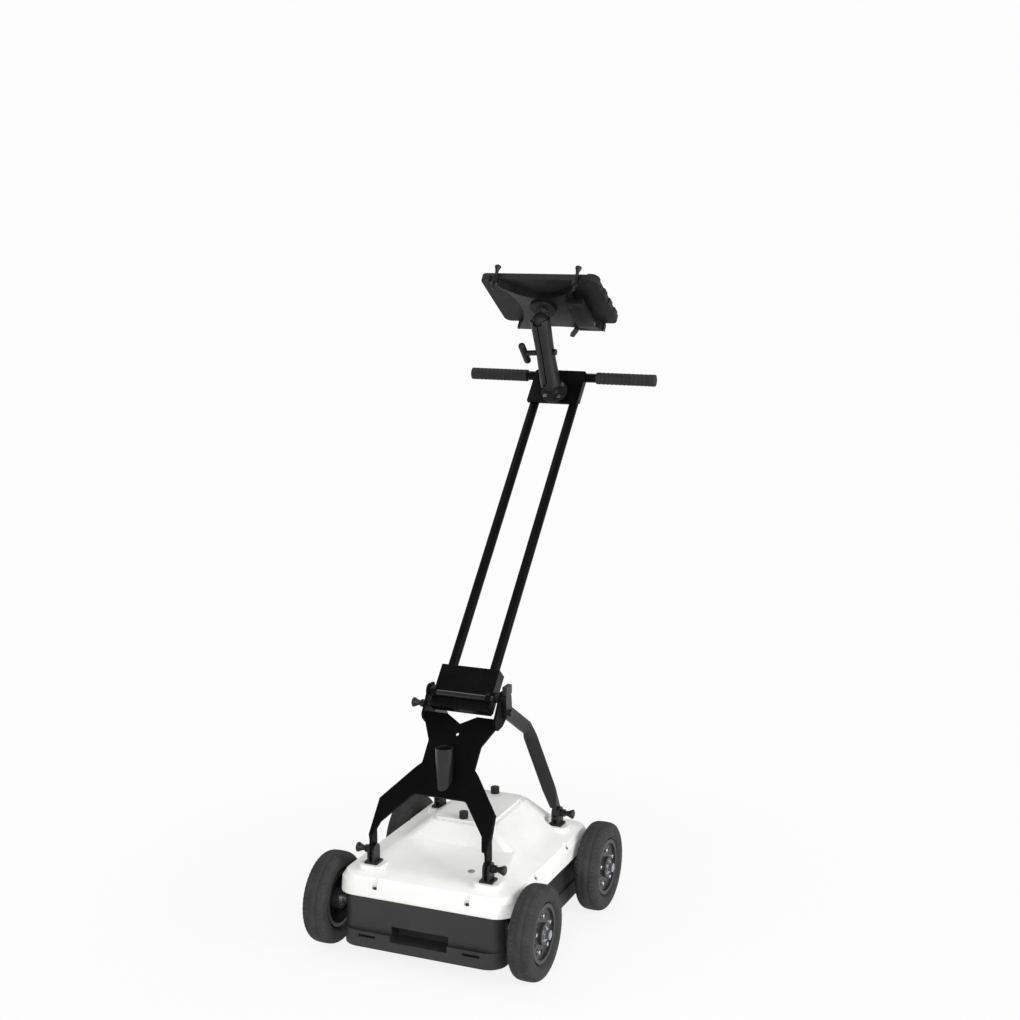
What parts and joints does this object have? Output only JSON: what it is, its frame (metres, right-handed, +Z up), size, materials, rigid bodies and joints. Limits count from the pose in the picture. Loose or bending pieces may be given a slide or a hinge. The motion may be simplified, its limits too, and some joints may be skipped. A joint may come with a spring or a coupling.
{
  "type": "ground penetrating radar cart",
  "caption": "Push cart with a white-topped radar antenna tub on black wheels, a folding black frame and handle, and a tablet held on a ball-jointed clamp arm above the handlebar",
  "frame": {"origin": "On the ground under the middle of the overall box of the cart", "axes": "+Z up, -Y the way the cart faces (away from the operator), +X to the right of someone looking at its front"},
  "size_m": [0.5438, 0.867, 1.4473],
  "materials": {
    "white_shell": "smooth white moulded shell",
    "black_moulding": "fine grained black moulded plastic",
    "black_coated_steel": "black powder coating on folded sheet",
    "black_tube": "satin black coating on aluminium",
    "bare_steel": "plain turned steel",
    "grip_rubber": "soft ribbed black rubber",
    "tyre_rubber": "grey-black moulded tyre rubber",
    "tablet_case": "matte charcoal rugged case",
    "screen_glass": "dark switched-off screen",
    "antenna_block": "grey enclosed block"
  },
  "bodies": {
    "chassis": {"skid_pan": "black_moulding", "base_housing": "black_moulding", "deck_cover": "white_shell", "cover_screws": "bare_steel", "battery_hatch": "white_shell", "antenna_module": "antenna_block", "control_unit": "antenna_block", "battery_pack": "antenna_block", "stub_axles": "bare_steel", "axle_nuts": "bare_steel", "wheel_encoder": "black_moulding", "wheel_bearings": "bare_steel", "front_left_clevis": "black_coated_steel", "front_right_clevis": "black_coated_steel", "rear_left_clevis": "black_coated_steel", "rear_right_clevis": "black_coated_steel", "front_plate": "black_coated_steel", "rear_leg_left": "black_coated_steel", "rear_leg_right": "black_coated_steel", "hinge_rod": "bare_steel", "frame_bolts": "bare_steel", "pole_holder": "black_coated_steel", "plunger_sleeves": "bare_steel"},
    "wheel_front_left": {"tyre_front_left": "tyre_rubber", "rim_front_left": "black_moulding"},
    "wheel_front_right": {"tyre_front_right": "tyre_rubber", "rim_front_right": "black_moulding"},
    "wheel_rear_left": {"tyre_rear_left": "tyre_rubber", "rim_rear_left": "black_moulding"},
    "wheel_rear_right": {"tyre_rear_right": "tyre_rubber", "rim_rear_right": "black_moulding"},
    "handle": {"handle_bracket": "black_tube", "latch_bar": "black_coated_steel", "handle_tube_left": "black_tube", "handle_tube_right": "black_tube", "top_plate": "black_coated_steel", "handlebar": "black_tube", "grip_left": "grip_rubber", "grip_right": "grip_rubber", "ball_base": "black_tube", "ball_base_bolts": "bare_steel"},
    "clamp_arm": {"arm_half_left": "black_tube", "arm_half_right": "black_tube", "arm_bolt": "bare_steel"},
    "tablet": {"cradle_ball": "black_tube", "cradle": "black_moulding", "tablet_body": "tablet_case", "tablet_screen": "screen_glass"},
    "body_hatch_knob_front": {"hatch_knob_front": "black_moulding"},
    "body_hatch_knob_rear": {"hatch_knob_rear": "black_moulding"},
    "body_front_left_plunger": {"front_left_plunger": "black_moulding"},
    "body_front_right_plunger": {"front_right_plunger": "black_moulding"},
    "body_rear_left_plunger": {"rear_left_plunger": "black_moulding"},
    "body_rear_right_plunger": {"rear_right_plunger": "black_moulding"},
    "body_handle_plunger": {"handle_plunger": "black_moulding"},
    "body_arm_knob": {"arm_knob": "black_moulding"},
    "body_clamp_screw_left": {"clamp_screw_left": "black_moulding"},
    "body_clamp_screw_right": {"clamp_screw_right": "black_moulding"},
    "body_cradle_lever": {"cradle_lever": "black_moulding"},
    "body_tablet_power_key": {"tablet_power_key": "tablet_case"}
  },
  "joints": [
    {"name": "spin_front_left", "type": "hinge", "parent": "chassis", "child": "wheel_front_left", "pos_m": [-0.237, -0.3335, 0.1], "axis": [1, 0, 0], "continuous": true},
    {"name": "spin_front_right", "type": "hinge", "parent": "chassis", "child": "wheel_front_right", "pos_m": [0.237, -0.3335, 0.1], "axis": [1, 0, 0], "continuous": true},
    {"name": "spin_rear_left", "type": "hinge", "parent": "chassis", "child": "wheel_rear_left", "pos_m": [-0.237, 0.0545, 0.1], "axis": [1, 0, 0], "continuous": true},
    {"name": "spin_rear_right", "type": "hinge", "parent": "chassis", "child": "wheel_rear_right", "pos_m": [0.237, 0.0545, 0.1], "axis": [1, 0, 0], "continuous": true},
    {"name": "handle_fold", "type": "hinge", "parent": "chassis", "child": "handle", "pos_m": [0, -0.15264, 0.53438], "axis": [1, 0, 0], "range_deg": [0, 130]},
    {"name": "pull_front_left", "type": "slide", "parent": "chassis", "child": "body_front_left_plunger", "axis": [-1, 0, 0], "range_m": [0, 0.018], "stiffness_N_per_m": 400},
    {"name": "pull_front_right", "type": "slide", "parent": "chassis", "child": "body_front_right_plunger", "axis": [1, 0, 0], "range_m": [0, 0.018], "stiffness_N_per_m": 400},
    {"name": "pull_rear_left", "type": "slide", "parent": "chassis", "child": "body_rear_left_plunger", "axis": [-1, 0, 0], "range_m": [0, 0.018], "stiffness_N_per_m": 400},
    {"name": "pull_rear_right", "type": "slide", "parent": "chassis", "child": "body_rear_right_plunger", "axis": [1, 0, 0], "range_m": [0, 0.018], "stiffness_N_per_m": 400},
    {"name": "pull_handle_lock", "type": "slide", "parent": "chassis", "child": "body_handle_plunger", "axis": [-1, 0, 0], "range_m": [0, 0.012], "stiffness_N_per_m": 400},
    {"name": "arm_tilt", "type": "hinge", "parent": "handle", "child": "clamp_arm", "pos_m": [0, 0.34248, 1.16484], "axis": [1, 0, 0], "range_deg": [-20, 30]},
    {"name": "tablet_tilt", "type": "hinge", "parent": "clamp_arm", "child": "tablet", "pos_m": [-0.01095, 0.30221, 1.31619], "axis": [1, 0, 0], "range_deg": [-15, 40]},
    {"name": "arm_knob_turn", "type": "hinge", "parent": "clamp_arm", "child": "body_arm_knob", "pos_m": [-0.00548, 0.32234, 1.24051], "axis": [-0.9976, 0.0179, -0.0674], "range_deg": [0, 720]},
    {"name": "clamp_screw_left_turn", "type": "hinge", "parent": "tablet", "child": "body_clamp_screw_left", "pos_m": [-0.1, 0.24439, 1.41914], "axis": [0, 0.5592, 0.829], "range_deg": [0, 720]},
    {"name": "clamp_screw_right_turn", "type": "hinge", "parent": "tablet", "child": "body_clamp_screw_right", "pos_m": [0.1, 0.24439, 1.41914], "axis": [0, 0.5592, 0.829], "range_deg": [0, 720]},
    {"name": "cradle_lever_turn", "type": "hinge", "parent": "tablet", "child": "body_cradle_lever", "pos_m": [0.052, 0.39487, 1.31764], "axis": [0, -0.5592, -0.829], "range_deg": [0, 90]},
    {"name": "hatch_knob_front_turn", "type": "hinge", "parent": "chassis", "child": "body_hatch_knob_front", "pos_m": [0, -0.1665, 0.25], "axis": [0, 0, 1], "range_deg": [0, 720]},
    {"name": "hatch_knob_rear_turn", "type": "hinge", "parent": "chassis", "child": "body_hatch_knob_rear", "pos_m": [0, 0.0065, 0.25], "axis": [0, 0, 1], "range_deg": [0, 720]},
    {"name": "power_key_press", "type": "slide", "parent": "tablet", "child": "body_tablet_power_key", "axis": [-1, 0, 0], "range_m": [0, 0.0008], "stiffness_N_per_m": 800}
  ]
}
